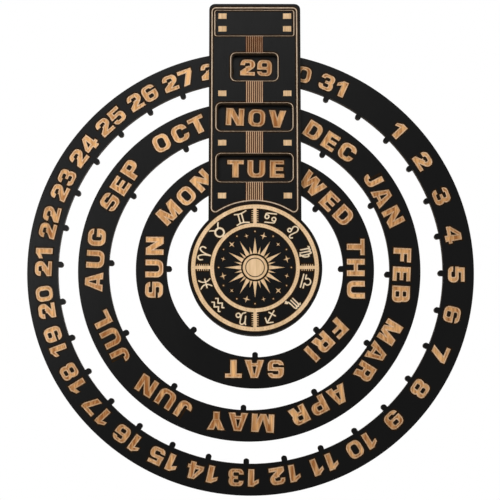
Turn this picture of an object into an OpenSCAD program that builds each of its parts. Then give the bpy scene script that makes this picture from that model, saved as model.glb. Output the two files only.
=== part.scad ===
// Perpetual wall calendar. Three rings, for the date, the month and the weekday, hang one
// inside the other between two plates, and each shows one of its places in a window.
// The wall is the plane y = 0 and the front faces -Y. The origin is the centre of the
// keyhole's round entry, on the back face. Angles run clockwise from the top.

/* [Sheet] */
// Thickness of the sheet that the plates and the rings are cut from
sheet_t = 4; // [3:0.25:6]
// Free space in front of each ring, and behind it
ring_play = 0.5; // [0.3:0.05:1]

/* [Rings] */
// Outer radius of the date ring
ring_r = 150; // [140:1:165]
// Step in radius from each ring to the next one, and from the last ring to the hub
ring_step = 35; // [33:0.5:38]
// Width of each ring's band
ring_band = 20.7; // [18:0.1:22]
// Width of a nub on a ring's inner edge
nub_w = 3.8; // [3:0.1:4.5]
// How far a nub stands in from the ring's inner edge
nub_l = 3.5; // [2.5:0.1:4]
// Radius of a nub's rounded tip
nub_tip_r = 2; // [2:0.1:4]
// Places on the date ring: the days of the longest month and a blank
date_places = 32; // [32:1:36]
// Places on the month ring
month_places = 12; // [12:1:13]
// Places on the weekday ring: the days of the week and a blank
weekday_places = 8; // [7:1:8]

/* [Hang] */
// Angle by which the date ring has swung on its top nub
date_swing = 1.32; // [0:0.02:1.6]
// Angle by which the month ring has swung on its top nub
month_swing = 2.4; // [0:0.1:2.6]
// Angle by which the weekday ring has swung on its top nub
weekday_swing = 0; // [0:0.1:2.6]

/* [Plates] */
// Width of the plates
body_w = 62.5; // [60:0.5:72]
// Height of the plates above the date ring's outer edge
body_rise = 32.7; // [31:0.1:45]
// Radius of the plates' top corners
corner_r = 4; // [2:0.5:8]

/* [Windows] */
// Height of each window
window_h = 17.8; // [14:0.1:18.2]
// Width of the date window
date_window_w = 30.3; // [24:0.1:46]
// Plate left at each side of the month window and of the weekday window
window_side = 6.1; // [5:0.1:12]
// Radius of the windows' corners
window_r = 2.5; // [1:0.1:4]
// How far a window's middle lies below the middle of its ring's band
window_drop = 1.4; // [0:0.1:1.4]

/* [Shelves] */
// How far the spacer, the shelves and the hub stay back from the plates' edges
edge_inset = 1; // [0.5:0.1:1.5]
// Free space between a ring's outer edge and the piece above it
ring_air = 1; // [0.7:0.1:2]
// Clearance between the nubs' tips and the shelf that they ride on
seat_gap = 0.3; // [0.2:0.05:0.4]
// Depth of the dip that the top nub settles in
dip_d = 0.3; // [0.2:0.05:0.5]
// Radius of that dip
dip_r = 4; // [3:0.1:6]

/* [Pegs] */
// Width of a peg
peg_w = 5.5; // [4:0.1:6.5]
// Height of a peg
peg_h = 3.8; // [3:0.1:4.5]
// From the front plate's side to the middle of a peg
peg_side = 9.1; // [8:0.1:12]
// From the plate's top edge to the middle of the upper row of pegs
peg_down = 8.7; // [6:0.1:10]
// From the upper row of pegs to the row below it
peg_pitch = 9; // [7:0.1:10]
// From the middle of the date window to the middle of the pegs below it
date_peg_drop = 18.6; // [14:0.1:21]
// From the middle of the month window to the middle of the pegs below it
month_peg_drop = 17.9; // [14:0.1:21]
// From the middle of the weekday window to the middle of the pegs below it
weekday_peg_drop = 19.2; // [14:0.1:21]
// Clearance round a peg in its hole
peg_fit = 0.05; // [0.02:0.01:0.1]

/* [Keyhole] */
// Height of the keyhole's entry above the date ring's outer edge
keyhole_up = 12; // [10:0.1:14]
// Radius of the entry that a screw's head passes through
keyhole_r = 4.5; // [4:0.1:5]
// Width of the slot that the screw's shank rests in
keyhole_slot_w = 4.8; // [4.4:0.1:5.5]
// How far the slot runs up from the middle of the entry
keyhole_slot_l = 10; // [8:0.1:11]
// Free space round the screw's head between the plates
head_air = 2; // [1:0.1:3]

/* [Hidden] */
$fn = 96;
corner_steps = 8;

// Depths from the wall
slot_t = sheet_t + 2 * ring_play;
ring_from = sheet_t + ring_play;
front_from = sheet_t + slot_t;

// Heights, from the keyhole's entry
hub_z = -(ring_r + keyhole_up);
body_top = hub_z + ring_r + body_rise;

// Radii
month_r = ring_r - ring_step;
weekday_r = month_r - ring_step;
hub_r = weekday_r - ring_step;
function tip_r(r) = r - ring_band - nub_l;

// A ring's centre: its top nub stays over the hub's centre while the ring swings
function ring_axis(r, swing) = [-tip_r(r) * sin(swing), hub_z + tip_r(r) * (1 - cos(swing))];
date_axis = ring_axis(ring_r, date_swing);
month_axis = ring_axis(month_r, month_swing);
weekday_axis = ring_axis(weekday_r, weekday_swing);

// Windows: the outer radius of each one's ring, and its width
wide_window_w = body_w - 2 * window_side;
WINDOWS = [[ring_r, date_window_w], [month_r, wide_window_w], [weekday_r, wide_window_w]];
function window_z(r) = hub_z + r - ring_band / 2 - window_drop;

// Peg rows: two above the date window, and one below each window
peg_x = body_w / 2 - peg_side;
PEG_ROWS = [
  ["upper", body_top - peg_down],
  ["lower", body_top - peg_down - peg_pitch],
  ["date", window_z(ring_r) - date_peg_drop],
  ["month", window_z(month_r) - month_peg_drop],
  ["weekday", window_z(weekday_r) - weekday_peg_drop],
];
PEGS = [
  for (row = PEG_ROWS)
    for (side = [-1, 1])
      [str("peg_", row[0], side < 0 ? "_left" : "_right"), side * peg_x, row[1]]
];

// A flat outline in x and z, made solid from one depth towards the front
module layer(from, t) {
  translate([0, -from, 0])
    rotate([90, 0, 0])
      linear_extrude(t)
        children();
}

// A quarter of a corner's round, from the angle a, anticlockwise
function corner(x, z, r, a) =
  [for (i = [0:corner_steps])
    [x + r * cos(a + 90 * i / corner_steps), z + r * sin(a + 90 * i / corner_steps)]];

// A rectangle with rounded corners
module rounded(w, h, r) {
  x = w / 2 - r;
  z = h / 2 - r;
  polygon(concat(corner(x, z, r, 0), corner(-x, z, r, 90), corner(-x, -z, r, 180), corner(x, -z, r, 270)));
}

// The upright part of the body, from the hub's centre to the top edge
module upright(inset) {
  r = max(corner_r - inset, edge_inset / 2);
  x = body_w / 2 - inset;
  z = body_top - inset;
  polygon(concat(corner(x - r, z - r, r, 0), corner(r - x, z - r, r, 90), [[-x, hub_z], [x, hub_z]]));
}

// The outline that both plates share
module plate_outline() {
  upright(0);
  translate([0, hub_z])
    circle(hub_r);
}

module peg_outline(x, z, clearance) {
  translate([x, z])
    square([peg_w + 2 * clearance, peg_h + 2 * clearance], center = true);
}

module front_plate() {
  color("#242322")
    layer(front_from, sheet_t)
      difference() {
        plate_outline();
        for (w = WINDOWS)
          translate([0, window_z(w[0])])
            rounded(w[1], window_h, window_r);
        for (p = PEGS)
          peg_outline(p[1], p[2], peg_fit);
      }
}

module back_plate() {
  slot_r = keyhole_slot_w / 2;
  color("#242322")
    layer(0, sheet_t)
      difference() {
        plate_outline();
        circle(keyhole_r);
        polygon(concat(
          [[slot_r, 0]],
          corner(0, keyhole_slot_l - slot_r, slot_r, 0),
          corner(0, keyhole_slot_l - slot_r, slot_r, 90),
          [[-slot_r, 0]]
        ));
      }
}

// Fills the body above the date ring, round a room for the head of the wall's screw
module top_spacer() {
  head_r = keyhole_r + head_air;
  room_h = keyhole_slot_l + 2 * head_r - keyhole_slot_w / 2;
  color("#242322")
    layer(sheet_t, slot_t)
      difference() {
        upright(edge_inset);
        translate(date_axis)
          circle(ring_r + ring_air);
        translate([0, room_h / 2 - head_r])
          rounded(2 * head_r, room_h, head_air);
      }
}

// The arc that a ring's nubs ride on, with a dip for the nub at the top
module shelf_outline(axis, r) {
  difference() {
    intersection() {
      upright(edge_inset);
      translate(axis)
        circle(tip_r(r) - seat_gap);
    }
    translate([0, hub_z + tip_r(r) - seat_gap - dip_d + dip_r])
      circle(dip_r);
  }
}

// A shelf between the ring that it carries and the next ring in
module shelf(axis, r, next_axis, next_r) {
  color("#242322")
    layer(sheet_t, slot_t)
      difference() {
        shelf_outline(axis, r);
        translate(next_axis)
          circle(next_r + ring_air);
      }
}

module date_shelf() {
  shelf(date_axis, ring_r, month_axis, month_r);
}

module month_shelf() {
  shelf(month_axis, month_r, weekday_axis, weekday_r);
}

// Fills the hub and carries the weekday ring
module hub_spacer() {
  color("#242322")
    layer(sheet_t, slot_t) {
      shelf_outline(weekday_axis, weekday_r);
      translate([0, hub_z])
        circle(hub_r - edge_inset);
    }
}

// A nub with a rounded tip, drawn at the top of a ring of outer radius r
module nub(r) {
  tip = tip_r(r);
  intersection() {
    translate([-nub_w / 2, tip])
      square([nub_w, nub_l + ring_band / 2]);
    union() {
      translate([0, tip + nub_tip_r])
        circle(nub_tip_r);
      translate([-nub_w, tip + nub_tip_r])
        square([2 * nub_w, nub_l + ring_band / 2]);
    }
  }
}

// A ring that hangs on the nub at its top place
module ring(r, places, swing) {
  color("#242322")
    layer(ring_from, sheet_t)
      translate(ring_axis(r, swing)) {
        difference() {
          circle(r);
          circle(r - ring_band);
        }
        for (i = [0:places - 1])
          rotate(-swing - i * 360 / places)
            nub(r);
      }
}

module date_ring() {
  ring(ring_r, date_places, date_swing);
}

module month_ring() {
  ring(month_r, month_places, month_swing);
}

module weekday_ring() {
  ring(weekday_r, weekday_places, weekday_swing);
}

// A short peg of plain wood, let into the front plate and flush with both its faces
module peg(x, z) {
  color("#e3bf96")
    layer(front_from, sheet_t)
      peg_outline(x, z, 0);
}

front_plate();
back_plate();
top_spacer();
date_shelf();
month_shelf();
hub_spacer();
date_ring();
month_ring();
weekday_ring();
for (p = PEGS)
  peg(p[1], p[2]);
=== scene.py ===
"""Looks of a perpetual wall calendar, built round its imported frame.

Flat shapes are drawn in millimetres in x and z, as seen from the front, and the front plate and the
three rings are made from them as boards with engraved lines, letters and signs. Angles of places on a
ring run clockwise from the top, in degrees. Other angles run anticlockwise from +X.
"""
import math

import bpy
import numpy as np
from mathutils import Matrix, Vector
from mathutils.geometry import delaunay_2d_cdt


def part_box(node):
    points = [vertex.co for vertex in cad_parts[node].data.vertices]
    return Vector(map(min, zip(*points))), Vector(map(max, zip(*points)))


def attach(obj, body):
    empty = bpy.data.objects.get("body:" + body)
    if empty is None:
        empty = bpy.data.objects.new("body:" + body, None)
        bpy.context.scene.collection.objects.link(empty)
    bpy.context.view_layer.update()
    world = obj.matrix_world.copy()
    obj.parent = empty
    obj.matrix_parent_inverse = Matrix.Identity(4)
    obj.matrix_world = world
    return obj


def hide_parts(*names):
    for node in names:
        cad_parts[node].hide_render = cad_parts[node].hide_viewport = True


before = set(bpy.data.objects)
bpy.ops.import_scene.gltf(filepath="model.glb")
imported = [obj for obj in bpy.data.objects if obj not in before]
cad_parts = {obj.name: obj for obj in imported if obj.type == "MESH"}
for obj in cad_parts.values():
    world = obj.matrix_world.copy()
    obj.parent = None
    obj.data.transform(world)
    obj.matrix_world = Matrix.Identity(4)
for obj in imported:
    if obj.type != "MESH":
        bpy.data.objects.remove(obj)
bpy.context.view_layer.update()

MM = 0.001

# Rings, as in the frame's own solids
RING_BAND = 20.7
NUB_W = 3.8
NUB_L = 3.5
NUB_TIP_R = 2.0
RINGS = {
    "date_ring": {"places": 32, "swing": 1.32, "top_place": 28},
    "month_ring": {"places": 12, "swing": 2.4, "top_place": 10},
    "weekday_ring": {"places": 8, "swing": 0.0, "top_place": 2},
}
LABELS = {
    "date_ring": [str(day) for day in range(1, 32)],
    "month_ring": "JAN FEB MAR APR MAY JUN JUL AUG SEP OCT NOV DEC".split(),
    "weekday_ring": "SUN MON TUE WED THU FRI SAT".split(),
}
# Lettering: its height, how far it stays in from the ring's edge, and how it lies off the places
LETTERING = {
    "date_ring": {"height": 11.4, "margin": 5.7, "turn": 0.44, "shift": (-0.47, 0.30)},
    "month_ring": {"height": 12.1, "margin": 6.0, "turn": 0.48, "shift": (-0.62, 0.76)},
    "weekday_ring": {"height": 12.1, "margin": 6.3, "turn": 0.41, "shift": (0.07, 0.61)},
}

# Front plate, measured from the hub's centre
PLATE_W = 62.5
PLATE_CORNER_R = 4.0
WINDOW_H = 17.8
WINDOW_R = 2.5
WINDOW_DROP = 1.4
DATE_WINDOW_W = 30.3
WIDE_WINDOW_W = 50.3
PEG_FIT = 0.05
PEG_ROWS = ("upper", "lower", "date", "month", "weekday")
PEGS = [f"peg_{row}_{side}" for row in PEG_ROWS for side in ("left", "right")]

# Engraving: the chamfer of the boards, the letters' pale rim, how much slimmer the letters are than
# drawn, and the scorched edge round what is engraved
EDGE = 0.15
RIM_W = 0.8
TRIM = 0.06
SCORCH_W = 0.8
SCORCH_REACH = 1.5
# Each finish's depth below the board's face. A later finish lies over an earlier one
DEPTH = {
    "face": 0.0,
    "scorch": 0.0,
    "browned": 0.0,
    "line": 0.25,
    "stripe": 0.25,
    "gold": 0.3,
    "sign": 0.3,
    "dot": 0.45,
    "rim": 0.3,
    "fill": 0.5,
}
ORDER = list(DEPTH)

# Lines on the front plate
LINE_SHIFT = -0.3
BORDER_X = 29.0
BORDER_DOWN = 2.8
BORDER_W = 0.76
BORDER_TOP_R = 2.6
BORDER_FOOT_R = 2.6
BORDER_ARC_R = 45.8
PANEL_X = 27.1
PANEL_DOWN = 4.5
PANEL_H = 18.2
PANEL_R = 1.4
FRAME_GAP = 1.0
FRAME_W = 0.36
FRAME_SIDE_W = 0.6
STRIPES = 9
STRIPE_PITCH = 1.326
STRIPE_W = 0.54
TOP_STRIPE_W = 0.28

# Medallion
MEDALLION_UP = 0.35
OUTER_BAND = (39.9, 42.7)
INNER_BAND = (27.4, 30.0)
BAR_W = 2.3
TICKS = 6
TICK_REACH = 2.3
TICK_W = 0.55
BAND_DOTS = [(41.45, 136), (28.65, 94)]
BAND_DOT_R = 0.16
SIGN_R = 35.0
SIGN_HALF = 4.2
SIGN_STROKE = 0.96
SUN_R = 8.2
SUN_LINE = (6.0, 6.5)
RAYS = 12
RAY_FOOT_R = 9.3
RAY_SIZES = [(1.45, 20.6), (0.8, 14.6)]
SPARKLE_R = 22.0
SPARKLE_SIZES = [2.6, 1.7]
SPARKLE_WAIST = 0.2
DOT_R = 24.3
DOT_SIZE = 0.5

# Steps of round shapes
CORNER_STEPS = 5
CIRCLE_STEPS = 144
SUN_STEPS = 72
SUN_LINE_STEPS = 64
BORDER_STEPS = 16
NUB_STEPS = 10
LOOP_STEPS = (24, 20)
DOT_STEPS = 12
BAND_DOT_STEPS = 6
GAP_STEP = 2.5
GAP_STEPS_MIN = 3

# How far a corner may move with an outline, where a curve cuts its corners, how close points are joined,
# and the angle in degrees from which an edge is sharp
CORNER_REACH = 8.0
CORNER_CUTS = (0.25, 0.75)
JOIN = 1e-4
SHARP_ANGLE = 30


def arc(cx, cz, rx, rz, start, end, steps):
    """Points along an arc of an ellipse."""
    turns = [math.radians(start + (end - start) * i / steps) for i in range(steps + 1)]
    return [(cx + rx * math.cos(a), cz + rz * math.sin(a)) for a in turns]


def circle(r, steps=CIRCLE_STEPS, cx=0.0, cz=0.0):
    return arc(cx, cz, r, r, 0, 360, steps)[:-1]


def box(x0, z0, x1, z1, radius=0.0):
    """A rectangle. radius is one number, or one for each corner from the lower left, anticlockwise."""
    radii = radius if isinstance(radius, tuple) else (radius,) * 4
    corners = [(x0, z0, 1, 1, 180), (x1, z0, -1, 1, 270), (x1, z1, -1, -1, 0), (x0, z1, 1, -1, 90)]
    points = []
    for (x, z, inx, inz, start), r in zip(corners, radii):
        if r:
            points += arc(x + inx * r, z + inz * r, r, r, start, start + 90, CORNER_STEPS)
        else:
            points.append((x, z))
    return points


def area(points):
    return sum(a[0] * b[1] - b[0] * a[1] for a, b in zip(points, points[1:] + points[:1])) / 2


def anticlockwise(points):
    return points if area(points) > 0 else points[::-1]


def offset(points, distance, reach=CORNER_REACH):
    """A closed outline moved outwards. A corner moves by at most reach times the distance."""
    points = anticlockwise(points)
    moved = []
    for i, (x, z) in enumerate(points):
        before, after = points[i - 1], points[(i + 1) % len(points)]
        a = Vector((z - before[1], before[0] - x)).normalized()
        b = Vector((after[1] - z, x - after[0])).normalized()
        shift = (a + b) * (distance / max(1 + a.dot(b), 2 / reach ** 2))
        moved.append((x + shift.x, z + shift.y))
    return moved


def placed(points, x=0.0, z=0.0, turn=0.0, size=1.0):
    """Points scaled, turned clockwise by an angle in degrees, and moved."""
    c, s = math.cos(math.radians(turn)), math.sin(math.radians(turn))
    return [(x + size * (px * c + pz * s), z + size * (pz * c - px * s)) for px, pz in points]


def mirrored(points):
    return [(-x, z) for x, z in reversed(points)]


def stroke(line, width):
    """The outlines of a line of one width: a piece with round ends for each straight part."""
    half = width / 2
    pieces = []
    for a, b in zip(line, line[1:]):
        way = math.degrees(math.atan2(b[1] - a[1], b[0] - a[0]))
        far_end = arc(*b, half, half, way - 90, way + 90, CORNER_STEPS)
        near_end = arc(*a, half, half, way + 90, way + 270, CORNER_STEPS)
        pieces.append(far_end + near_end)
    return pieces


def rounded(points, times=2):
    """A line with its corners cut again and again, so that it runs in a curve between the same ends."""
    for _ in range(times):
        cut_line = [points[0]]
        for a, b in zip(points, points[1:]):
            cut_line += [tuple(Vector(a).lerp(Vector(b), part)) for part in CORNER_CUTS]
        points = cut_line + [points[-1]]
    return points


def holders(middles, outlines):
    """For each of the points, the numbers of the outlines that it lies in."""
    held = [[] for _ in middles]
    by_x = np.argsort(middles[:, 0])
    for number, outline in enumerate(outlines):
        start = np.array(outline)
        end = np.roll(start, -1, axis=0)
        low, high = start.min(axis=0), start.max(axis=0)
        near = by_x[slice(*np.searchsorted(middles[by_x, 0], (low[0], high[0])))]
        near = near[(middles[near, 1] > low[1]) & (middles[near, 1] < high[1])]
        x, z = middles[near, 0:1], middles[near, 1:2]
        level = start[:, 1] == end[:, 1]
        slope = (end[:, 0] - start[:, 0]) / np.where(level, 1, end[:, 1] - start[:, 1])
        passed = (start[:, 1] > z) != (end[:, 1] > z)
        passed &= x < start[:, 0] + slope * (z - start[:, 1])
        for i in near[passed.sum(axis=1) % 2 == 1]:
            held[i].append(number)
    return held


def triangulate(outlines):
    """Triangles over outlines, for each triangle the outlines that hold it, and each outline's points."""
    points = [Vector(p) for outline in outlines for p in outline]
    faces, start = [], 0
    for outline in outlines:
        faces.append(list(range(start, start + len(outline))))
        start += len(outline)
    found = delaunay_2d_cdt(points, [], faces, 0, JOIN)
    spots, triangles = [tuple(p) for p in found[0]], found[2]
    place = {old: new for new, olds in enumerate(found[3]) for old in olds}
    loops = [[place[i] for i in face] for face in faces]
    middles = np.array(spots)[np.array(triangles)].mean(axis=1)
    return spots, triangles, holders(middles, outlines), loops


# A shape is a list of steps, and each step adds an outline to it or cuts one from it
def add(*outlines):
    return [(1, outline) for outline in outlines]


def cut(*outlines):
    return [(-1, outline) for outline in outlines]


def swelled(steps, distance, reach=CORNER_REACH):
    """The same steps with what is added grown by a distance, and what is cut shrunk by it."""
    return [(sign, offset(outline, sign * distance, reach)) for sign, outline in steps]


def shifted(steps, x=0.0, z=0.0, turn=0.0, size=1.0):
    return [(sign, placed(outline, x, z, turn, size)) for sign, outline in steps]


def scorched(steps):
    """The scorched edge round what is engraved."""
    return swelled(steps, SCORCH_W, SCORCH_REACH)


# Lettering: each sign is one unit high, and its left edge is at x = 0
O_SHAPE = add(box(0, 0, 1, 1, 0.36)) + cut(box(0.30, 0.22, 0.70, 0.78, 0.15))
E_BARS = [box(0, 0, 0.36, 1), box(0, 0.76, 0.84, 1), box(0, 0.39, 0.80, 0.61)]
P_SHAPE = (
    add(box(0, 0.32, 0.96, 1, (0, 0.30, 0.30, 0)), box(0, 0, 0.36, 0.6))
    + cut(box(0.35, 0.55, 0.62, 0.78, 0.06))
)
SIX = (
    add(box(0, 0, 0.97, 1, 0.32))
    + cut(box(0.33, 0.21, 0.65, 0.42, 0.07), box(0.33, 0.61, 0.64, 0.79, 0.06), box(0.60, 0.61, 1.3, 0.715))
)
GLYPHS = {
    "A": add([(0, 0), (1.14, 0), (0.78, 1), (0.36, 1)])
    + cut([(0.46, 0.37), (0.68, 0.37), (0.59, 0.74), (0.55, 0.74)])
    + cut([(0.38, -0.2), (0.76, -0.2), (0.70, 0.17), (0.44, 0.17)]),
    "B": add(box(0, 0.38, 0.94, 1, (0, 0.2, 0.26, 0)), box(0, 0, 0.98, 0.62, (0, 0.28, 0.2, 0)))
    + cut(box(0.34, 0.61, 0.61, 0.79, 0.05), box(0.34, 0.21, 0.64, 0.40, 0.05)),
    "C": add(box(0, 0, 1, 1, 0.36))
    + cut(box(0.33, 0.24, 0.67, 0.76, 0.12), box(0.6, 0.37, 1.3, 0.63)),
    "D": add(box(0, 0, 0.99, 1, (0, 0.38, 0.38, 0)))
    + cut(box(0.34, 0.24, 0.66, 0.76, (0, 0.15, 0.15, 0))),
    "E": add(*E_BARS, box(0, 0, 0.85, 0.24)),
    "F": add(*E_BARS),
    "G": add(box(0, 0, 1.03, 1, 0.36))
    + cut(box(0.33, 0.24, 0.70, 0.76, 0.12), box(0.6, 0.5, 1.4, 0.67))
    + add(box(0.53, 0.30, 1.03, 0.52)),
    "H": add(box(0, 0, 0.35, 1), box(0.67, 0, 1.02, 1), box(0, 0.38, 1.02, 0.62)),
    "I": add(box(0, 0, 0.35, 1)),
    "J": add(box(0, 0, 0.82, 1, (0.32, 0.32, 0, 0)))
    + cut(box(0.30, 0.24, 0.47, 1.3, (0.08, 0.08, 0, 0)), box(-0.3, 0.37, 0.34, 1.3)),
    "L": add(box(0, 0, 0.36, 1), box(0, 0, 0.84, 0.25)),
    "M": add(box(0, 0, 0.34, 1), box(0.96, 0, 1.30, 1))
    + add([(0, 1), (0.47, 0), (0.77, 0), (0.42, 1)], [(1.30, 1), (0.88, 1), (0.53, 0), (0.83, 0)]),
    "N": add(box(0, 0, 0.34, 1), box(0.74, 0, 1.08, 1), [(0, 1), (0.66, 0), (1.08, 0), (0.42, 1)]),
    "O": O_SHAPE,
    "P": P_SHAPE,
    "R": P_SHAPE + add([(0.44, 0.55), (0.60, 0), (1.0, 0), (0.88, 0.5)]),
    "S": add(box(0, 0, 0.94, 1, 0.31))
    + cut(box(0.32, 0.605, 0.64, 0.78, 0.06), box(0.59, 0.605, 1.3, 0.71))
    + cut(box(0.30, 0.22, 0.62, 0.395, 0.06), box(-0.3, 0.29, 0.35, 0.395)),
    "T": add(box(0, 0.75, 0.97, 1), box(0.295, 0, 0.675, 1)),
    "U": add(box(0, 0, 1.05, 1, (0.36, 0.36, 0, 0))) + cut(box(0.35, 0.24, 0.70, 1.3, (0.14, 0.14, 0, 0))),
    "V": add([(0, 1), (0.32, 0), (0.72, 0), (0.38, 1)], [(1.04, 1), (0.66, 1), (0.32, 0), (0.72, 0)]),
    "W": add([(0, 1), (0.25, 0), (0.61, 0), (0.36, 1)], [(0.25, 0), (0.61, 0), (0.94, 1), (0.58, 1)])
    + add([(0.58, 1), (0.91, 0), (1.27, 0), (0.94, 1)], [(0.91, 0), (1.27, 0), (1.52, 1), (1.16, 1)]),
    "Y": add(box(0.33, 0, 0.71, 0.5), [(0, 1), (0.33, 0.38), (0.71, 0.38), (0.41, 1)])
    + add([(1.04, 1), (0.63, 1), (0.33, 0.38), (0.71, 0.38)]),
    "0": O_SHAPE,
    "1": add(box(0.30, 0, 0.69, 1), [(0, 0.55), (0.55, 0.78), (0.55, 1), (0.36, 1), (0, 0.78)]),
    "2": add(box(0, 0.42, 0.97, 1, (0, 0.25, 0.31, 0.31)))
    + cut(box(0.31, 0.58, 0.63, 0.77, 0.07), box(-0.3, 0.2, 0.34, 0.63))
    + add(box(0, 0, 0.97, 0.24), [(0, 0), (0.5, 0), (0.5, 0.2), (0.88, 0.47), (0.54, 0.63), (0, 0.28)]),
    "3": add(box(0, 0.40, 0.94, 1, 0.28), box(0, 0, 0.97, 0.60, 0.28))
    + cut(box(0.30, 0.60, 0.61, 0.78, 0.06), box(0.30, 0.22, 0.64, 0.41, 0.06), box(-0.3, 0.33, 0.35, 0.68)),
    "4": add([(0, 0.18), (1.04, 0.18), (1.04, 0.41), (0.90, 0.41), (0.90, 1), (0.48, 1), (0, 0.43)])
    + cut([(0.30, 0.41), (0.54, 0.41), (0.54, 0.71)])
    + add(box(0.52, 0, 0.90, 0.5)),
    "5": add(box(0.04, 0.76, 0.90, 1), box(0.04, 0.42, 0.36, 1), box(0, 0, 0.96, 0.65, (0.28, 0.30, 0.28, 0)))
    + cut(box(0.32, 0.22, 0.63, 0.43, 0.07), box(-0.3, 0.315, 0.36, 0.42)),
    "6": SIX,
    "7": add([(0.14, 0), (0.56, 0), (0.97, 0.75), (0.97, 1), (0, 1), (0, 0.75), (0.54, 0.75)]),
    "8": add(box(0.02, 0.40, 0.95, 1, 0.28), box(0, 0, 0.97, 0.60, 0.28))
    + cut(box(0.33, 0.60, 0.64, 0.79, 0.06), box(0.33, 0.21, 0.64, 0.41, 0.06)),
    "9": [(sign, placed(outline, 0.97, 1, 180)) for sign, outline in SIX],
}
# Space left free at a sign's left and right edge
BEARING = (0.125, 0.125)
BEARINGS = {"A": (0.07, 0.09), "T": (0.05, 0.08), "V": (0.07, 0.07), "W": (0.07, 0.12), "Y": (0.06, 0.06)}
BEARINGS |= {letter: (0.11, 0.11) for letter in "OCGS"}
BEARINGS |= {digit: (0.06, 0.06) for digit in "0123456789"}
BEARINGS |= {"J": (0.08, 0.12), "1": (0.09, 0.19)}
# Width of the signs: of letters, of a digit by itself and of two digits side by side
LETTER_WIDE = 0.955
DIGIT_WIDE = 1.0
PAIR_WIDE = 0.92


def glyph_width(letter):
    return max(x for sign, outline in GLYPHS[letter] if sign > 0 for x, _ in outline)


glyph_cache = {}


def glyph_shapes(letter, height, wide):
    """The shapes of a sign's scorched edge, of its rim and of the fill inside the rim."""
    key = letter, height, wide
    if key not in glyph_cache:
        full = [(s, [(x * height * wide, z * height) for x, z in outline]) for s, outline in GLYPHS[letter]]
        steps = swelled(full, -TRIM)
        glyph_cache[key] = {"scorch": scorched(steps), "rim": steps, "fill": swelled(steps, -RIM_W)}
    return glyph_cache[key]


def word_wide(text):
    if text.isalpha():
        return LETTER_WIDE
    return PAIR_WIDE if len(text) > 1 else DIGIT_WIDE


def word(text, height, turn, baseline):
    """Shapes of a straight word, centred on a place of a ring, with its feet towards the ring's centre."""
    wide = word_wide(text)
    bearings = [BEARINGS.get(letter, BEARING) for letter in text]
    starts, x = [], -bearings[0][0]
    for letter, (left, right) in zip(text, bearings):
        starts.append(x + left)
        x += left + glyph_width(letter) * wide + right
    length = x - bearings[-1][1]
    shapes = []
    for letter, start in zip(text, starts):
        for finish, steps in glyph_shapes(letter, height, wide).items():
            upright = shifted(steps, (start - length / 2) * height, baseline)
            shapes.append((finish, shifted(upright, turn=turn)))
    return shapes


def rim_points(after, start, end):
    """The points from start to end, where each point has the next one after it."""
    points = []
    while after[start] != end:
        start = after[start]
        points.append(start)
    return points


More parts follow.
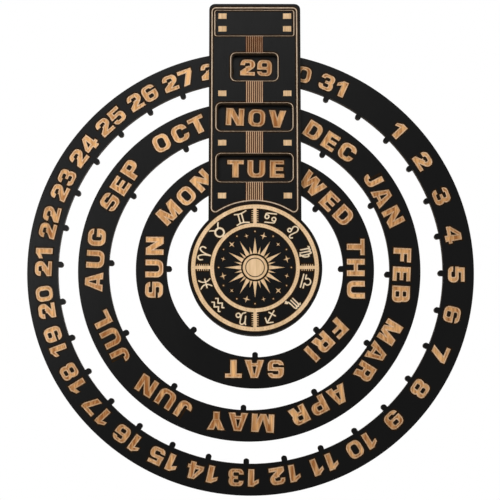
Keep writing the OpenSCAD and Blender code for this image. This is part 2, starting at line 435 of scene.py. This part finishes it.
def rebuilt(name, origin, y_front, outlines, shapes):
    """A board with engraved shapes. The first outline is its edge, and the others are its holes."""
    low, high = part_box(name)
    thickness = (high.y - low.y) / MM
    edges = [anticlockwise(outline) for outline in outlines]
    inner = [offset(outline, EDGE if i else -EDGE) for i, outline in enumerate(edges)]
    drawn, owners = list(inner), [None] * len(inner)
    for shape, (_, steps) in enumerate(shapes):
        for sign, outline in steps:
            drawn.append(anticlockwise(outline))
            owners.append((shape, sign))
    points, triangles, held_by, loops = triangulate(drawn)

    vertices, faces, kinds, numbers = [], [], [], {}

    def vertex(key, x, depth, z):
        if key not in numbers:
            numbers[key] = len(vertices)
            vertices.append(((origin[0] + x) * MM, y_front + depth * MM, (origin[1] + z) * MM))
        return numbers[key]

    def on_front(i, depth):
        return vertex((i, depth), points[i][0], depth, points[i][1])

    # The face, at the depth of what is engraved there: the last step of a shape that holds a triangle counts
    finish_at, levels = {}, {}
    for triangle, held in zip(triangles, held_by):
        if [h for h in held if h < len(inner)] != [0]:
            continue
        last_step = dict(owners[h] for h in held if h >= len(inner))
        finishes = ["face"] + [shapes[shape][0] for shape, sign in last_step.items() if sign > 0]
        finish = max(finishes, key=ORDER.index)
        depth = DEPTH[finish]
        faces.append([on_front(i, depth) for i in triangle])
        kinds.append(finish)
        for i in range(3):
            finish_at[triangle[i - 1], triangle[i]] = depth
            levels.setdefault(triangle[i], set()).add(depth)

    # The walls of what is engraved
    for (a, b), depth in finish_at.items():
        deeper = finish_at.get((b, a), depth)
        if deeper > depth:
            down = [d for d in sorted(levels[a]) if depth <= d <= deeper]
            up = [d for d in sorted(levels[b], reverse=True) if depth <= d <= deeper]
            faces.append([on_front(a, d) for d in down] + [on_front(b, d) for d in up])
            kinds.append("wall")

    # The cut edges, with a small chamfer at the front and at the back
    after = {a: b for a, b in finish_at if (b, a) not in finish_at}
    back_points, back_triangles, back_held_by, back_loops = triangulate(inner)
    for n, edge in enumerate(edges):
        front_loop = loops[n]
        rows = [
            [on_front(i, DEPTH["face"]) for i in front_loop],
            [vertex((n, i, "front"), p[0], EDGE, p[1]) for i, p in enumerate(edge)],
            [vertex((n, i, "back"), p[0], thickness - EDGE, p[1]) for i, p in enumerate(edge)],
            [vertex(("back", i), back_points[i][0], thickness, back_points[i][1]) for i in back_loops[n]],
        ]
        for upper, lower in zip(rows, rows[1:]):
            for i in range(len(edge)):
                strip = [upper[i - 1], upper[i], lower[i], lower[i - 1]]
                if upper is rows[0]:
                    ends = (front_loop[i], front_loop[i - 1]) if n else (front_loop[i - 1], front_loop[i])
                    crossed = [on_front(p, DEPTH["face"]) for p in rim_points(after, *ends)]
                    strip[1:1] = crossed[::-1] if n else crossed
                faces.append(strip if n else strip[::-1])
                kinds.append("edge")
    for triangle, held in zip(back_triangles, back_held_by):
        if held == [0]:
            faces.append([numbers["back", i] for i in reversed(triangle)])
            kinds.append("face")

    mesh = bpy.data.meshes.new(name + "_engraved")
    mesh.from_pydata(vertices, [], faces)
    for material in BOARD_SET.values():
        mesh.materials.append(material)
    numbers_of = {kind: number for number, kind in enumerate(BOARD_SET)}
    mesh.polygons.foreach_set("material_index", [numbers_of[kind] for kind in kinds])
    mesh.polygons.foreach_set("use_smooth", [True] * len(faces))
    mesh.update()
    mesh.set_sharp_from_angle(angle=math.radians(SHARP_ANGLE))
    piece = bpy.data.objects.new(name + "_engraved", mesh)
    bpy.context.scene.collection.objects.link(piece)
    return piece


# Materials. Noise lies mostly between its low and its high value. Wood has patches as wide as a word and
# a broad tone, and its shade runs from dark to light within a reach of the middle. The broad tone is partly
# the wood's own and partly painted shade: its scale and place make it darken the letters that sit in the
# windows and at the bottom when the rings rest, and it turns with the rings
NOISE_ROUGHNESS = 0.55
NOISE_LOW = 0.3
NOISE_HIGH = 0.7
FIGURE_SCALE = 45
# The broad tone's scale and place, chosen so that it also paints shade on the letters in the windows and at
# the bottom
TONE_AND_SHADE_SCALE = 8
TONE_AND_SHADE_SHIFT = (-2.36, 0, -3.28)
WOOD_MIDDLE = 0.49
WOOD_REACH = 0.17


def new_material(name):
    material = bpy.data.materials.new(name)
    material.use_nodes = True
    nodes, links = material.node_tree.nodes, material.node_tree.links
    return material, nodes, links, nodes["Principled BSDF"]


def noise(nodes, links, scale, detail=4.0, stretch=(1, 1, 1), shift=(0, 0, 0)):
    """Noise that is fixed to the piece. scale is in features a metre."""
    place = nodes.new("ShaderNodeTexCoord")
    mapping = nodes.new("ShaderNodeMapping")
    mapping.inputs["Scale"].default_value = stretch
    mapping.inputs["Location"].default_value = shift
    texture = nodes.new("ShaderNodeTexNoise")
    texture.inputs["Scale"].default_value = scale
    texture.inputs["Detail"].default_value = detail
    texture.inputs["Roughness"].default_value = NOISE_ROUGHNESS
    links.new(place.outputs["Object"], mapping.inputs["Vector"])
    links.new(mapping.outputs["Vector"], texture.inputs["Vector"])
    return texture.outputs["Fac"]


def ramp(nodes, links, value, stops):
    """Colours along a value. stops are pairs of place and linear colour."""
    node = nodes.new("ShaderNodeValToRGB")
    elements = node.color_ramp.elements
    for i, (place, colour) in enumerate(stops):
        element = elements[i] if i < 2 else elements.new(place)
        element.position = place
        element.color = (*colour, 1)
    links.new(value, node.inputs["Fac"])
    return node.outputs["Color"]


def spread(nodes, links, value, low, high):
    """Noise spread over the range from low to high."""
    node = nodes.new("ShaderNodeMapRange")
    node.inputs["From Min"].default_value = NOISE_LOW
    node.inputs["From Max"].default_value = NOISE_HIGH
    node.inputs["To Min"].default_value = low
    node.inputs["To Max"].default_value = high
    links.new(value, node.inputs["Value"])
    return node.outputs["Result"]


def bump(nodes, links, height, bsdf, distance, strength):
    node = nodes.new("ShaderNodeBump")
    node.inputs["Distance"].default_value = distance
    node.inputs["Strength"].default_value = strength
    links.new(height, node.inputs["Height"])
    links.new(node.outputs["Normal"], bsdf.inputs["Normal"])


def board_material():
    """Black stained board with a faint upright grain and a dull satin face."""
    material, nodes, links, bsdf = new_material("black_board")
    tone = noise(nodes, links, scale=60, detail=5, stretch=(1, 1, 0.25))
    stops = [(NOISE_LOW, (0.0007, 0.0007, 0.0007)), (NOISE_HIGH, (0.0016, 0.0016, 0.0015))]
    links.new(ramp(nodes, links, tone, stops), bsdf.inputs["Base Color"])
    grain = noise(nodes, links, scale=1500, detail=3, stretch=(1, 1, 0.08))
    links.new(spread(nodes, links, grain, low=0.32, high=0.40), bsdf.inputs["Roughness"])
    bsdf.inputs["Specular IOR Level"].default_value = 0.075
    bump(nodes, links, grain, bsdf, distance=0.00004, strength=0.35)
    return material


def edge_material():
    """Cut edge, charred by the cutting beam, with streaks across the board's thickness."""
    material, nodes, links, bsdf = new_material("charred_edge")
    streak = noise(nodes, links, scale=900, detail=3, stretch=(1, 0.15, 1))
    stops = [(NOISE_LOW, (0.0140, 0.0095, 0.0055)), (0.75, (0.0500, 0.0340, 0.0200))]
    links.new(ramp(nodes, links, streak, stops), bsdf.inputs["Base Color"])
    links.new(spread(nodes, links, streak, low=0.6, high=0.85), bsdf.inputs["Roughness"])
    bsdf.inputs["Specular IOR Level"].default_value = 0.1
    bump(nodes, links, streak, bsdf, distance=0.00008, strength=0.5)
    return material


def wood_material(name, dark, light, streaks, lift=0.00003, figure=0.0, tone=0.0):
    """Bare wood with upright grain: long streaks, fine fibres and a rough face.

    figure is how far patches as wide as a word change its shade, and tone how far a broad tone does, which is
    partly the wood's own and partly painted shade on the letters in the windows and at the bottom.
    """
    material, nodes, links, bsdf = new_material(name)
    shade = noise(nodes, links, streaks, detail=4, stretch=(1, 1, 0.09))
    patches = noise(nodes, links, FIGURE_SCALE, detail=2)
    # A broad tone, partly the wood's own and partly painted shade on the letters in the windows and at the
    # bottom
    sheet_tone_and_shade = noise(nodes, links, TONE_AND_SHADE_SCALE, detail=1, shift=TONE_AND_SHADE_SHIFT)
    for field, change in ((patches, figure), (sheet_tone_and_shade, tone)):
        both = nodes.new("ShaderNodeMath")
        links.new(shade, both.inputs[0])
        links.new(spread(nodes, links, field, -change, change), both.inputs[1])
        shade = both.outputs["Value"]
    stops = [(WOOD_MIDDLE - WOOD_REACH, dark), (WOOD_MIDDLE + WOOD_REACH, light)]
    links.new(ramp(nodes, links, shade, stops), bsdf.inputs["Base Color"])
    fibre = noise(nodes, links, scale=2600, detail=3, stretch=(1, 1, 0.06))
    links.new(spread(nodes, links, fibre, low=0.6, high=0.8), bsdf.inputs["Roughness"])
    bsdf.inputs["Specular IOR Level"].default_value = 0.05
    bump(nodes, links, fibre, bsdf, distance=lift, strength=0.5)
    return material


board = board_material()
charred = edge_material()
burnt = wood_material("burnt_wall", (0.024, 0.0110, 0.0048), (0.070, 0.034, 0.014), streaks=900)
scorch = wood_material("scorched_face", (0.010, 0.0042, 0.0006), (0.026, 0.011, 0.0016), streaks=900)
browned = wood_material("browned_face", (0.045, 0.0115, 0.0015), (0.095, 0.0255, 0.004), streaks=900)
pale_line = wood_material("pale_line", (0.54, 0.415, 0.300), (0.76, 0.600, 0.450), streaks=700)
stripe_wood = wood_material("stripe_wood", (0.55, 0.360, 0.220), (0.75, 0.510, 0.330), streaks=700)
gold_wood = wood_material("gold_wood", (0.74, 0.500, 0.272), (0.92, 0.650, 0.398), streaks=420)
sign_wood = wood_material("sign_wood", (0.87, 0.680, 0.460), (0.97, 0.820, 0.590), streaks=700)
# The letters' rim and fill carry the broad tone, which is partly painted shade in the windows and at the
# bottom
rim_wood = wood_material(
    "letter_rim", (0.54, 0.325, 0.175), (0.85, 0.565, 0.350), streaks=700, figure=0.06, tone=0.16
)
letter_wood = wood_material(
    "letter_wood", (0.33, 0.12, 0.033), (0.91, 0.51, 0.215), streaks=520, lift=0.00004, figure=0.08, tone=0.12
)
peg_wood = wood_material(
    "peg_wood", (0.54, 0.330, 0.165), (0.83, 0.580, 0.340), streaks=600, lift=0.00004, figure=0.06
)
BOARD_SET = {
    "face": board,
    "edge": charred,
    "wall": burnt,
    "scorch": scorch,
    "browned": browned,
    "line": pale_line,
    "stripe": stripe_wood,
    "gold": gold_wood,
    "sign": sign_wood,
    "dot": burnt,
    "rim": rim_wood,
    "fill": letter_wood,
}


# The three rings
def ring_outlines(r, places, swing):
    """A ring's outer edge, and its inner edge with a nub at each place."""
    inner_r = r - RING_BAND
    tip = inner_r - NUB_L
    half = NUB_W / 2
    spread_angle = math.degrees(math.asin(half / NUB_TIP_R))
    foot = math.sqrt(inner_r ** 2 - half ** 2)
    tip_arc = arc(0, tip + NUB_TIP_R, NUB_TIP_R, NUB_TIP_R, 270 - spread_angle, 270 + spread_angle, NUB_STEPS)
    nub = [(-half, foot), *tip_arc, (half, foot)]
    foot_angle = math.degrees(math.asin(half / inner_r))
    step = 360 / places
    gap_steps = max(GAP_STEPS_MIN, round(step / GAP_STEP))
    gap = arc(0, 0, inner_r, inner_r, 90 - foot_angle, 90 - step + foot_angle, gap_steps)[1:-1]
    inside = []
    for i in range(places):
        inside += placed(nub + gap, turn=swing + i * step)
    return [circle(r, 2 * CIRCLE_STEPS), inside]


def make_ring(name):
    size, lettering = RINGS[name], LETTERING[name]
    low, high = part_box(name)
    r = (high.x - low.x) / 2 / MM
    origin = ((high.x + low.x) / 2 / MM, (high.z + low.z) / 2 / MM)
    baseline = r - lettering["margin"] - lettering["height"]
    step = 360 / size["places"]
    shapes = []
    for i, text in enumerate(LABELS[name]):
        turn = size["swing"] + (i - size["top_place"]) * step + lettering["turn"]
        for finish, steps in word(text, lettering["height"], turn, baseline):
            shapes.append((finish, shifted(steps, *lettering["shift"])))
    outlines = ring_outlines(r, size["places"], size["swing"])
    ring = rebuilt(name, origin, low.y, outlines, shapes)
    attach(ring, name)
    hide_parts(name)
    return r


ring_radius = {name: make_ring(name) for name in RINGS}

# The front plate
plate_low, plate_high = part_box("front_plate")
hub_r = (plate_high.x - plate_low.x) / 2 / MM
hub = (0.0, plate_low.z / MM + hub_r)
plate_top = plate_high.z / MM - hub[1]


def plate_outline():
    x = PLATE_W / 2
    r = PLATE_CORNER_R
    corner = arc(x - r, plate_top - r, r, r, 0, 90, CORNER_STEPS)
    meet = math.degrees(math.acos(x / hub_r))
    round_foot = arc(0, 0, hub_r, hub_r, 180 - meet, 360 + meet, CIRCLE_STEPS)
    return corner + mirrored(corner) + round_foot


def window_boxes():
    """Left, lower, right and upper edge of each window."""
    widths = {"date_ring": DATE_WINDOW_W, "month_ring": WIDE_WINDOW_W, "weekday_ring": WIDE_WINDOW_W}
    boxes = []
    for name, w in widths.items():
        middle = ring_radius[name] - RING_BAND / 2 - WINDOW_DROP
        boxes.append((-w / 2, middle - WINDOW_H / 2, w / 2, middle + WINDOW_H / 2))
    return boxes


def peg_hole(name):
    low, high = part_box(name)
    x0, x1 = low.x / MM - hub[0], high.x / MM - hub[0]
    z0, z1 = low.z / MM - hub[1], high.z / MM - hub[1]
    return box(x0 - PEG_FIT, z0 - PEG_FIT, x1 + PEG_FIT, z1 + PEG_FIT)


def band(outline, width):
    """A line of one width along a closed outline."""
    return add(offset(outline, width / 2)) + cut(offset(outline, -width / 2))


def frame_line(x0, z0, x1, z1, radius):
    """A line round a rectangle, wider at its sides than along its top and its foot."""
    dx, dz = FRAME_SIDE_W / 2, FRAME_W / 2
    outer = box(x0 - dx, z0 - dz, x1 + dx, z1 + dz, radius + dz)
    return add(outer) + cut(box(x0 + dx, z0 + dz, x1 - dx, z1 - dz, radius - dz))


def border_line():
    """Along the plate's edge, and over the medallion in an arc that meets the sides in small rounds."""
    x, top = BORDER_X, plate_top - BORDER_DOWN
    foot_x = x - BORDER_FOOT_R
    foot_z = math.sqrt((BORDER_ARC_R + BORDER_FOOT_R) ** 2 - foot_x ** 2)
    meet = math.degrees(math.atan2(foot_z, foot_x))
    over = arc(0, 0, BORDER_ARC_R, BORDER_ARC_R, 90, meet, BORDER_STEPS)
    foot = arc(foot_x, foot_z, BORDER_FOOT_R, BORDER_FOOT_R, 180 + meet, 360, 2 * CORNER_STEPS)
    corner = arc(x - BORDER_TOP_R, top - BORDER_TOP_R, BORDER_TOP_R, BORDER_TOP_R, 0, 90, CORNER_STEPS)
    right = over[1:-1] + foot + corner
    return right + mirrored(right) + [over[0]]


def panel_edges():
    top = plate_top - PANEL_DOWN
    return -PANEL_X, top - PANEL_H, PANEL_X, top


def plate_lines():
    steps = band(border_line(), BORDER_W) + frame_line(*panel_edges(), PANEL_R)
    for x0, z0, x1, z1 in window_boxes():
        gap = FRAME_GAP
        steps += frame_line(x0 - gap, z0 - gap, x1 + gap, z1 + gap, WINDOW_R + gap)
    return steps


def plate_stripes():
    """Upright stripes between the panel, the windows and the medallion, and the browned face round them."""
    windows = window_boxes()
    uppers = [panel_edges()[1]] + [window[1] - FRAME_GAP for window in windows]
    lowers = [window[3] + FRAME_GAP for window in windows] + [None]
    widths = [TOP_STRIPE_W] + [STRIPE_W] * len(windows)
    stripes, between = [], []
    for upper, lower, width in zip(uppers, lowers, widths):
        for i in range(STRIPES):
            x = (i - (STRIPES - 1) / 2) * STRIPE_PITCH
            end = math.sqrt(BORDER_ARC_R ** 2 - x ** 2) if lower is None else lower
            stripes += add(box(x - width / 2, end, x + width / 2, upper))
            between += add(box(x - STRIPE_PITCH / 2, end, x + STRIPE_PITCH / 2, upper))
    return stripes, between


def loop_line(cx, cz, r, width):
    outer, inner = LOOP_STEPS
    return add(circle(r + width / 2, outer, cx, cz)) + cut(circle(r - width / 2, inner, cx, cz))


# The twelve signs, in the order in which they run clockwise from the top: loops, curves and straight lines
SIGNS = [
    (
        [(-0.26, 0.06, 0.31), (0.92, -0.06, 0.31)],
        [
            [(-0.54, 0.16), (-0.52, 0.58), (-0.1, 0.68), (0.45, 0.76), (1.08, 0.86)],
            [(1.20, -0.16), (1.18, -0.60), (0.76, -0.70), (0.2, -0.78), (-0.36, -0.88)],
        ],
        [],
    ),
    (
        [(-0.33, -0.18, 0.29)],
        [
            [(-0.12, 0.02), (-0.3, 0.62), (-0.02, 1.0), (0.52, 1.0), (0.72, 0.5)]
            + [(0.48, -0.1), (0.26, -0.78), (0.56, -1.1), (0.88, -0.74)],
        ],
        [],
    ),
    (
        [],
        [
            [(-1.08, 0.70), (-0.86, 0.94), (-0.74, 0.6), (-0.84, -0.6)],
            [(-0.74, 0.55), (-0.52, 0.98), (-0.28, 0.8), (-0.38, -0.82)],
            [(-0.28, 0.6), (-0.02, 1.0), (0.18, 0.75), (0.08, -0.95)],
            [(0.16, 0.32), (0.5, 0.54), (0.5, -0.1), (0.26, -0.58), (-0.16, -0.88)],
        ],
        [],
    ),
    (
        [],
        [],
        [
            [(-0.95, -0.56), (1.2, -0.56)],
            [(-0.95, -0.12), (-0.34, -0.12), *arc(0.06, 0.32, 0.52, 0.5, 228, -48, 14)]
            + [(0.46, -0.12), (1.2, -0.12)],
        ],
    ),
    (
        [],
        [
            [(-1.02, 0.74), (-0.84, 0.96), (-0.73, 0.6), (-0.73, -0.64)],
            [(-0.73, 0.55), (-0.5, 1.0), (-0.3, 0.75), (-0.3, -0.6)],
            [(-0.3, 0.6), (-0.06, 1.02), (0.15, 0.75), (0.13, -0.5), (0.34, -0.82), (0.66, -0.9)],
        ],
        [[(0.44, -0.62), (0.66, -0.9), (0.36, -1.02)]],
    ),
    (
        [],
        [],
        [
            [(-1.1, -0.88), (0.42, 0.66)],
            [(-0.48, 0.84), (0.45, 0.70), (0.52, -0.14)],
            [(-1.08, -0.06), (-0.26, -0.86)],
        ],
    ),
    (
        [(0.6, -0.28, 0.33)],
        [
            [(-0.9, 0.86), (-0.72, 0.62), (-0.58, -0.42)],
            [(-0.7, 0.45), (-0.48, 0.96), (0.02, 0.96), (0.1, 0.3), (0.12, -0.7), (-0.42, -1.0)],
        ],
        [],
    ),
    (
        [],
        [],
        [
            [(-1.05, z + 0.32), (-0.82, z + 0.5), (-0.35, z - 0.05)]
            + [(0.12, z + 0.46), (0.62, z - 0.08), (0.92, z + 0.18)]
            for z in (0.24, -0.6)
        ],
    ),
    (
        [],
        [
            [(-1.12, 0.84), (-0.72, 0.45), (-0.6, -0.05), (-0.72, -0.55), (-1.06, -0.96)],
            [(0.26, 0.88), (-0.12, 0.45), (-0.24, -0.05), (-0.14, -0.55), (0.12, -0.94)],
        ],
        [[(-1.16, -0.14), (0.26, -0.14)]],
    ),
    (
        [],
        [
            [(-0.96, 0.06), (-1.14, 0.6), (-0.66, 0.98), (-0.3, 0.55), (-0.06, -0.2), (-0.02, -0.98)],
            [(0.98, 0.04), (1.14, 0.6), (0.66, 0.98), (0.3, 0.55), (0.06, -0.2), (0.02, -0.98)],
        ],
        [],
    ),
    (
        [(-0.02, -0.36, 0.74), (-0.02, -0.36, 0.67)],
        [[(-1.02, 0.94), (-0.6, 0.62), (-0.3, 0.24), (0.26, 0.24), (0.54, 0.62), (0.92, 0.94)]],
        [],
    ),
    (
        [],
        [
            [(-0.98, 0.72), (-0.42, 0.62), (0.2, 0.62), (0.94, 0.86)],
            [(-1.0, -1.06), (-0.42, -0.88), (0.2, -0.86), (1.0, -1.1)],
        ],
        [[(-0.42, 0.6), (-0.42, -0.86)], [(0.16, 0.6), (0.16, -0.86)]],
    ),
]


def sign_steps(number):
    loops, curves, lines = SIGNS[number]
    width = SIGN_STROKE / SIGN_HALF
    steps = []
    for cx, cz, r in loops:
        steps += loop_line(cx, cz, r, width)
    for line in [rounded(curve) for curve in curves] + lines:
        steps += add(*stroke(line, width))
    return shifted(shifted(steps, 0, SIGN_R, 0, SIGN_HALF), turn=(number + 0.5) * 360 / len(SIGNS))


def sparkle(size):
    """A star with four long points."""
    waist = size * SPARKLE_WAIST
    return [p for i in range(4) for p in placed([(0, size), (waist, waist)], turn=90 * i)]


def medallion():
    steps = []
    for inner_r, outer_r in (OUTER_BAND, INNER_BAND):
        steps += add(circle(outer_r)) + cut(circle(inner_r))
    bar_low, bar_high = INNER_BAND[1], OUTER_BAND[0]
    overlap = (INNER_BAND[1] - INNER_BAND[0]) / 4
    bar = [box(-BAR_W / 2, bar_low - overlap, BAR_W / 2, bar_high + overlap)]
    for i in range(TICKS):
        z = bar_low + (bar_high - bar_low) * (i + 1) / (TICKS + 1)
        bar.append(box(-TICK_REACH, z - TICK_W / 2, TICK_REACH, z + TICK_W / 2))
    for quarter in range(4):
        steps += add(*[placed(outline, turn=90 * quarter) for outline in bar])
    line_in, line_out = [circle(r, SUN_LINE_STEPS) for r in SUN_LINE]
    steps += add(circle(SUN_R, SUN_STEPS)) + cut(line_out) + add(line_in)
    for i in range(2 * RAYS):
        half, reach = RAY_SIZES[i % 2]
        turn = i * 180 / RAYS
        steps += add(placed([(-half, RAY_FOOT_R), (half, RAY_FOOT_R), (0, reach)], turn=turn))
        if i % 2:
            star = placed(sparkle(SPARKLE_SIZES[i // 2 % 2]), 0, SPARKLE_R)
            steps += add(placed(star, turn=turn))
        else:
            steps += add(placed(circle(DOT_SIZE, DOT_STEPS, 0, DOT_R), turn=turn))
    return steps


def band_dots():
    """Fine dots along the middle of the medallion's two bands."""
    steps = []
    for r, count in BAND_DOTS:
        dot = circle(BAND_DOT_R, BAND_DOT_STEPS, 0, r)
        steps += add(*[placed(dot, turn=360 * i / count) for i in range(count)])
    return steps


plate_holes = [box(*window, WINDOW_R) for window in window_boxes()] + [peg_hole(peg) for peg in PEGS]
stripes, between = plate_stripes()
signs = [step for number in range(len(SIGNS)) for step in sign_steps(number)]
plate_shapes = [
    ("browned", shifted(between, x=LINE_SHIFT)),
    ("stripe", shifted(stripes, x=LINE_SHIFT)),
    ("dot", shifted(band_dots(), z=MEDALLION_UP)),
]
scorching = [
    ("line", shifted(plate_lines(), x=LINE_SHIFT)),
    ("gold", shifted(medallion(), z=MEDALLION_UP)),
    ("sign", shifted(signs, z=MEDALLION_UP)),
]
for finish, steps in scorching:
    plate_shapes += [("scorch", scorched(steps)), (finish, steps)]
plate = rebuilt("front_plate", hub, plate_low.y, [plate_outline(), *plate_holes], plate_shapes)
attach(plate, "body")
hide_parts("front_plate")

# Pieces whose shape is the solid's own: the pegs of plain wood, and boards with charred edges. A face
# counts as a board's front or back where this much of its normal points along y
FLAT_FACE = 0.5
for name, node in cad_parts.items():
    finishes = [peg_wood, peg_wood] if name in PEGS else [board, charred]
    node.data.materials.clear()
    for finish in finishes:
        node.data.materials.append(finish)
    for face in node.data.polygons:
        face.material_index = 0 if abs(face.normal.y) > FLAT_FACE else 1

# The photograph's view: a point on the picture's axis, and the camera's direction and distance from it
VIEW_POINT = Vector((-3.32, -8.5, -149.34)) * MM
VIEW_PITCH = math.radians(7.657)
VIEW_YAW = math.radians(0.178)
VIEW_DISTANCE = 0.85206
VIEW_LENS = 91.2
VIEW_SENSOR = 36.0
forward = Vector((
    math.sin(VIEW_YAW),
    math.cos(VIEW_PITCH) * math.cos(VIEW_YAW),
    math.sin(VIEW_PITCH) * math.cos(VIEW_YAW),
))
up = Vector((0, -math.sin(VIEW_PITCH), math.cos(VIEW_PITCH)))
right = forward.cross(up).normalized()
camera_data = bpy.data.cameras.new("camera")
camera_data.lens = VIEW_LENS
camera_data.sensor_width = VIEW_SENSOR
camera = bpy.data.objects.new("camera", camera_data)
turned = Matrix((right, right.cross(forward), -forward)).transposed().to_4x4()
camera.matrix_world = Matrix.Translation(VIEW_POINT - forward * VIEW_DISTANCE) @ turned
bpy.context.scene.collection.objects.link(camera)
bpy.context.scene.camera = camera

# Floor, light and background, in metres and watts
FLOOR_Z = -0.62
FLOOR_HALF = 1.6
FLOOR_GLOW = 0.6
LAMPS = {
    "key": {"place": (-0.09, -0.62, 0.29), "size": 0.47, "watts": 2.45},
    "sheen": {"place": (-0.34, -0.62, -0.07), "size": 0.2, "watts": 1.5},
    "fill": {"place": (0.62, -1.2, -0.1), "size": 1.0, "watts": 1.3},
    "back": {"place": (0.3, 1.3, 0.4), "size": 1.0, "watts": 16},
}
AMBIENT = 0.18


def background_rays(nodes, links):
    """One for the rays by which the background is seen straight or in a reflection, and none for light."""
    path = nodes.new("ShaderNodeLightPath")
    seen = path.outputs["Is Camera Ray"]
    for ray in ("Is Glossy Ray", "Is Transmission Ray"):
        either = nodes.new("ShaderNodeMath")
        either.operation = "MAXIMUM"
        links.new(seen, either.inputs[0])
        links.new(path.outputs[ray], either.inputs[1])
        seen = either.outputs["Value"]
    return seen


def make_floor():
    mesh = bpy.data.meshes.new("floor")
    corners = box(-FLOOR_HALF, -FLOOR_HALF, FLOOR_HALF, FLOOR_HALF)
    mesh.from_pydata([(x, y, FLOOR_Z) for x, y in corners], [], [[0, 1, 2, 3]])
    material, nodes, links, bsdf = new_material("pale_floor")
    stops = [(NOISE_LOW, (0.80, 0.80, 0.79)), (NOISE_HIGH, (0.84, 0.84, 0.83))]
    colour = ramp(nodes, links, noise(nodes, links, scale=8), stops)
    links.new(colour, bsdf.inputs["Base Color"])
    links.new(colour, bsdf.inputs["Emission Color"])
    glow = nodes.new("ShaderNodeMath")
    glow.operation = "MULTIPLY"
    glow.inputs[1].default_value = FLOOR_GLOW
    links.new(background_rays(nodes, links), glow.inputs[0])
    links.new(glow.outputs["Value"], bsdf.inputs["Emission Strength"])
    bsdf.inputs["Roughness"].default_value = 0.9
    mesh.materials.append(material)
    floor = bpy.data.objects.new("floor", mesh)
    bpy.context.scene.collection.objects.link(floor)


def soft_lamp(name, place, size, watts):
    """A round lamp that is aimed at the hub."""
    lamp = bpy.data.lights.new(name, "AREA")
    lamp.shape = "DISK"
    lamp.size = size
    lamp.energy = watts
    holder = bpy.data.objects.new(name, lamp)
    holder.location = place
    aim = Vector((0, 0, hub[1] * MM)) - Vector(place)
    holder.rotation_mode = "QUATERNION"
    holder.rotation_quaternion = aim.to_track_quat("-Z", "Y")
    bpy.context.scene.collection.objects.link(holder)


def make_world(ambient):
    """Soft even light, and a white background for the camera and for reflections."""
    world = bpy.data.worlds.new("studio")
    world.use_nodes = True
    nodes, links = world.node_tree.nodes, world.node_tree.links
    soft = nodes["Background"]
    soft.inputs["Color"].default_value = (1, 1, 1, 1)
    soft.inputs["Strength"].default_value = ambient
    white = nodes.new("ShaderNodeBackground")
    white.inputs["Color"].default_value = (1, 1, 1, 1)
    white.inputs["Strength"].default_value = 1.0
    mix = nodes.new("ShaderNodeMixShader")
    links.new(background_rays(nodes, links), mix.inputs["Fac"])
    links.new(soft.outputs["Background"], mix.inputs[1])
    links.new(white.outputs["Background"], mix.inputs[2])
    links.new(mix.outputs["Shader"], nodes["World Output"].inputs["Surface"])
    bpy.context.scene.world = world


make_floor()
for name, lamp in LAMPS.items():
    soft_lamp(name, **lamp)
make_world(AMBIENT)
bpy.context.scene.view_settings.view_transform = "Standard"
